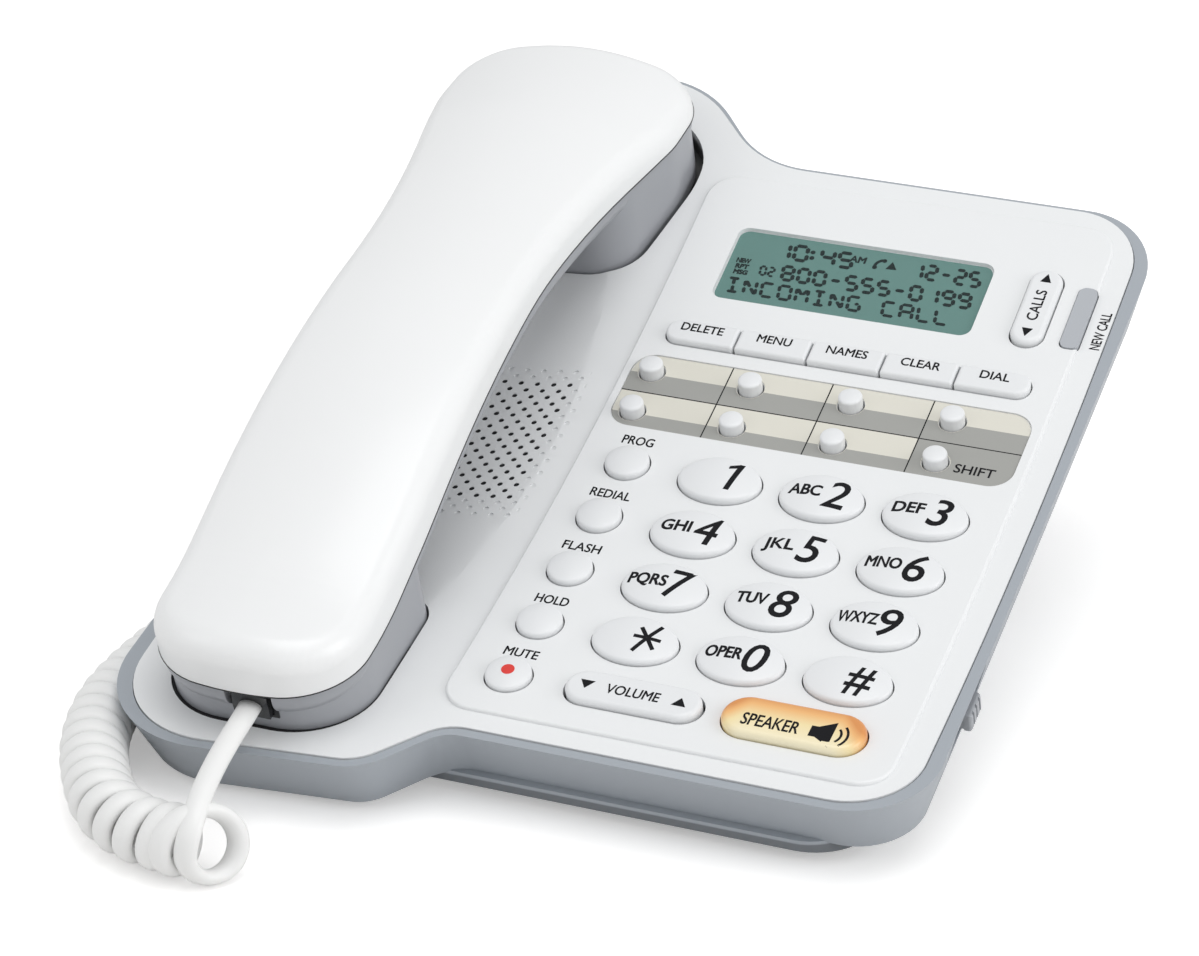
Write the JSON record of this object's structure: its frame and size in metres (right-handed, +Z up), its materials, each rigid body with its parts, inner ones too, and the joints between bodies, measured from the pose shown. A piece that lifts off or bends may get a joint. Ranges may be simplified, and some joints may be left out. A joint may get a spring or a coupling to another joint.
{
  "type": "caller id telephone",
  "caption": "Corded desk telephone with a caller display, oval keys, a lifting handset on a left cradle and a curly cord",
  "frame": {"origin": "centre of the base and handset, measured without the cord, on the surface it stands on", "axes": "+X to the right of a user facing the keys, +Y towards the display at the back, +Z up"},
  "size_m": [0.185, 0.236, 0.0934],
  "materials": {
    "white_plastic": "satin white moulded plastic",
    "grey_plastic": "cool grey moulded plastic",
    "handset_lower": "light grey moulded plastic",
    "key_plastic": "white key plastic with soft edges",
    "amber_plastic": "translucent amber key",
    "clear_window": "clear window over the display",
    "display": "liquid crystal display, teal grey",
    "call_lens": "frosted call light lens",
    "card": "printed paper directory card",
    "black_plastic": "black moulded plastic",
    "clear_plug": "clear modular plug",
    "cord_vinyl": "white vinyl cord",
    "board": "green circuit board",
    "mat_rubber": "keypad rubber mat",
    "speaker_metal": "black loudspeaker frame",
    "foot_rubber": "black rubber foot",
    "screw_steel": "zinc plated steel",
    "cell_metal": "plain battery cell jacket",
    "grey_switch": "grey moulded switch"
  },
  "bodies": {
    "base": {"base_jacks": "black_plastic", "base_plug": "clear_plug", "base_screws": "screw_steel", "batteries": "cell_metal", "bottom_housing": "grey_plastic", "call_light_lens": "call_lens", "curly_cord": "cord_vinyl", "desk_stand": "grey_plastic", "directory_card": "card", "keypad_mat": "mat_rubber", "lcd_module": "display", "lcd_window": "clear_window", "loudspeaker": "speaker_metal", "main_board": "board", "rubber_feet": "foot_rubber", "top_cover": "white_plastic"},
    "key_0": {"key_0": "key_plastic"},
    "key_1": {"key_1": "key_plastic"},
    "key_2": {"key_2": "key_plastic"},
    "key_3": {"key_3": "key_plastic"},
    "key_4": {"key_4": "key_plastic"},
    "key_5": {"key_5": "key_plastic"},
    "key_6": {"key_6": "key_plastic"},
    "key_7": {"key_7": "key_plastic"},
    "key_8": {"key_8": "key_plastic"},
    "key_9": {"key_9": "key_plastic"},
    "key_flash": {"key_flash": "key_plastic"},
    "key_hash": {"key_hash": "key_plastic"},
    "key_hold": {"key_hold": "key_plastic"},
    "key_mute": {"key_mute": "key_plastic"},
    "key_prog": {"key_prog": "key_plastic"},
    "key_redial": {"key_redial": "key_plastic"},
    "key_star": {"key_star": "key_plastic"},
    "memory_button_1": {"memory_button_1": "key_plastic"},
    "memory_button_2": {"memory_button_2": "key_plastic"},
    "memory_button_3": {"memory_button_3": "key_plastic"},
    "memory_button_4": {"memory_button_4": "key_plastic"},
    "memory_button_5": {"memory_button_5": "key_plastic"},
    "memory_button_6": {"memory_button_6": "key_plastic"},
    "memory_button_7": {"memory_button_7": "key_plastic"},
    "memory_button_8": {"memory_button_8": "key_plastic"},
    "soft_key_1": {"soft_key_1": "key_plastic"},
    "soft_key_2": {"soft_key_2": "key_plastic"},
    "soft_key_3": {"soft_key_3": "key_plastic"},
    "soft_key_4": {"soft_key_4": "key_plastic"},
    "soft_key_5": {"soft_key_5": "key_plastic"},
    "speaker_key": {"speaker_key": "amber_plastic"},
    "volume_rocker": {"volume_rocker": "key_plastic"},
    "call_list_rocker": {"call_list_rocker": "key_plastic"},
    "handset": {"handset_top_shell": "white_plastic", "handset_bottom_shell": "handset_lower", "earpiece_capsule": "black_plastic", "microphone_capsule": "black_plastic", "handset_jack": "black_plastic", "handset_screws": "screw_steel", "handset_plug": "clear_plug"},
    "hook_switch": {"hook_switch": "grey_switch"},
    "ringer_switch": {"ringer_switch": "grey_switch"},
    "battery_door": {"battery_door": "grey_plastic"}
  },
  "joints": [
    {"name": "handset_lift", "type": "slide", "parent": "base", "child": "handset", "axis": [0, -0.3057, 0.9521], "range_m": [0, 0.06]},
    {"name": "hook_switch_rise", "type": "slide", "parent": "base", "child": "hook_switch", "axis": [0, -0.3057, 0.9521], "range_m": [0, 0.0035]},
    {"name": "battery_door_slide", "type": "slide", "parent": "base", "child": "battery_door", "axis": [0, 1, 0], "range_m": [0, 0.0105]},
    {"name": "ringer_switch_slide", "type": "slide", "parent": "base", "child": "ringer_switch", "axis": [0, 0.9521, 0.3057], "range_m": [-0.004, 0.004]},
    {"name": "volume_rocker_tilt", "type": "hinge", "parent": "base", "child": "volume_rocker", "pos_m": [0.0218, -0.0659, 0.01764], "axis": [0, 0.9521, 0.3057], "range_deg": [-3, 3], "stiffness_Nm_per_rad": 0.12},
    {"name": "call_list_rocker_tilt", "type": "hinge", "parent": "base", "child": "call_list_rocker", "pos_m": [0.0651, 0.05652, 0.05637], "axis": [1, 0, 0], "range_deg": [-3, 3], "stiffness_Nm_per_rad": 0.12},
    {"name": "speaker_key_press", "type": "slide", "parent": "base", "child": "speaker_key", "axis": [0, 0.3057, -0.9521], "range_m": [0, 0.0012], "stiffness_N_per_m": 500, "springref_m": -0.0006},
    {"name": "key_0_press", "type": "slide", "parent": "base", "child": "key_0", "axis": [0, 0.3057, -0.9521], "range_m": [0, 0.0012], "stiffness_N_per_m": 500, "springref_m": -0.0006},
    {"name": "key_1_press", "type": "slide", "parent": "base", "child": "key_1", "axis": [0, 0.3057, -0.9521], "range_m": [0, 0.0012], "stiffness_N_per_m": 500, "springref_m": -0.0006},
    {"name": "key_2_press", "type": "slide", "parent": "base", "child": "key_2", "axis": [0, 0.3057, -0.9521], "range_m": [0, 0.0012], "stiffness_N_per_m": 500, "springref_m": -0.0006},
    {"name": "key_3_press", "type": "slide", "parent": "base", "child": "key_3", "axis": [0, 0.3057, -0.9521], "range_m": [0, 0.0012], "stiffness_N_per_m": 500, "springref_m": -0.0006},
    {"name": "key_4_press", "type": "slide", "parent": "base", "child": "key_4", "axis": [0, 0.3057, -0.9521], "range_m": [0, 0.0012], "stiffness_N_per_m": 500, "springref_m": -0.0006},
    {"name": "key_5_press", "type": "slide", "parent": "base", "child": "key_5", "axis": [0, 0.3057, -0.9521], "range_m": [0, 0.0012], "stiffness_N_per_m": 500, "springref_m": -0.0006},
    {"name": "key_6_press", "type": "slide", "parent": "base", "child": "key_6", "axis": [0, 0.3057, -0.9521], "range_m": [0, 0.0012], "stiffness_N_per_m": 500, "springref_m": -0.0006},
    {"name": "key_7_press", "type": "slide", "parent": "base", "child": "key_7", "axis": [0, 0.3057, -0.9521], "range_m": [0, 0.0012], "stiffness_N_per_m": 500, "springref_m": -0.0006},
    {"name": "key_8_press", "type": "slide", "parent": "base", "child": "key_8", "axis": [0, 0.3057, -0.9521], "range_m": [0, 0.0012], "stiffness_N_per_m": 500, "springref_m": -0.0006},
    {"name": "key_9_press", "type": "slide", "parent": "base", "child": "key_9", "axis": [0, 0.3057, -0.9521], "range_m": [0, 0.0012], "stiffness_N_per_m": 500, "springref_m": -0.0006},
    {"name": "key_flash_press", "type": "slide", "parent": "base", "child": "key_flash", "axis": [0, 0.3057, -0.9521], "range_m": [0, 0.0012], "stiffness_N_per_m": 500, "springref_m": -0.0006},
    {"name": "key_hash_press", "type": "slide", "parent": "base", "child": "key_hash", "axis": [0, 0.3057, -0.9521], "range_m": [0, 0.0012], "stiffness_N_per_m": 500, "springref_m": -0.0006},
    {"name": "key_hold_press", "type": "slide", "parent": "base", "child": "key_hold", "axis": [0, 0.3057, -0.9521], "range_m": [0, 0.0012], "stiffness_N_per_m": 500, "springref_m": -0.0006},
    {"name": "key_mute_press", "type": "slide", "parent": "base", "child": "key_mute", "axis": [0, 0.3057, -0.9521], "range_m": [0, 0.0012], "stiffness_N_per_m": 500, "springref_m": -0.0006},
    {"name": "key_prog_press", "type": "slide", "parent": "base", "child": "key_prog", "axis": [0, 0.3057, -0.9521], "range_m": [0, 0.0012], "stiffness_N_per_m": 500, "springref_m": -0.0006},
    {"name": "key_redial_press", "type": "slide", "parent": "base", "child": "key_redial", "axis": [0, 0.3057, -0.9521], "range_m": [0, 0.0012], "stiffness_N_per_m": 500, "springref_m": -0.0006},
    {"name": "key_star_press", "type": "slide", "parent": "base", "child": "key_star", "axis": [0, 0.3057, -0.9521], "range_m": [0, 0.0012], "stiffness_N_per_m": 500, "springref_m": -0.0006},
    {"name": "memory_button_1_press", "type": "slide", "parent": "base", "child": "memory_button_1", "axis": [0, 0.3057, -0.9521], "range_m": [0, 0.0012], "stiffness_N_per_m": 500, "springref_m": -0.0006},
    {"name": "memory_button_2_press", "type": "slide", "parent": "base", "child": "memory_button_2", "axis": [0, 0.3057, -0.9521], "range_m": [0, 0.0012], "stiffness_N_per_m": 500, "springref_m": -0.0006},
    {"name": "memory_button_3_press", "type": "slide", "parent": "base", "child": "memory_button_3", "axis": [0, 0.3057, -0.9521], "range_m": [0, 0.0012], "stiffness_N_per_m": 500, "springref_m": -0.0006},
    {"name": "memory_button_4_press", "type": "slide", "parent": "base", "child": "memory_button_4", "axis": [0, 0.3057, -0.9521], "range_m": [0, 0.0012], "stiffness_N_per_m": 500, "springref_m": -0.0006},
    {"name": "memory_button_5_press", "type": "slide", "parent": "base", "child": "memory_button_5", "axis": [0, 0.3057, -0.9521], "range_m": [0, 0.0012], "stiffness_N_per_m": 500, "springref_m": -0.0006},
    {"name": "memory_button_6_press", "type": "slide", "parent": "base", "child": "memory_button_6", "axis": [0, 0.3057, -0.9521], "range_m": [0, 0.0012], "stiffness_N_per_m": 500, "springref_m": -0.0006},
    {"name": "memory_button_7_press", "type": "slide", "parent": "base", "child": "memory_button_7", "axis": [0, 0.3057, -0.9521], "range_m": [0, 0.0012], "stiffness_N_per_m": 500, "springref_m": -0.0006},
    {"name": "memory_button_8_press", "type": "slide", "parent": "base", "child": "memory_button_8", "axis": [0, 0.3057, -0.9521], "range_m": [0, 0.0012], "stiffness_N_per_m": 500, "springref_m": -0.0006},
    {"name": "soft_key_1_press", "type": "slide", "parent": "base", "child": "soft_key_1", "axis": [0, 0.3057, -0.9521], "range_m": [0, 0.0012], "stiffness_N_per_m": 500, "springref_m": -0.0006},
    {"name": "soft_key_2_press", "type": "slide", "parent": "base", "child": "soft_key_2", "axis": [0, 0.3057, -0.9521], "range_m": [0, 0.0012], "stiffness_N_per_m": 500, "springref_m": -0.0006},
    {"name": "soft_key_3_press", "type": "slide", "parent": "base", "child": "soft_key_3", "axis": [0, 0.3057, -0.9521], "range_m": [0, 0.0012], "stiffness_N_per_m": 500, "springref_m": -0.0006},
    {"name": "soft_key_4_press", "type": "slide", "parent": "base", "child": "soft_key_4", "axis": [0, 0.3057, -0.9521], "range_m": [0, 0.0012], "stiffness_N_per_m": 500, "springref_m": -0.0006},
    {"name": "soft_key_5_press", "type": "slide", "parent": "base", "child": "soft_key_5", "axis": [0, 0.3057, -0.9521], "range_m": [0, 0.0012], "stiffness_N_per_m": 500, "springref_m": -0.0006}
  ],
  "couplings": [
    {"joint": "hook_switch_rise", "follows": "handset_lift", "ratio": 0.058333}
  ]
}
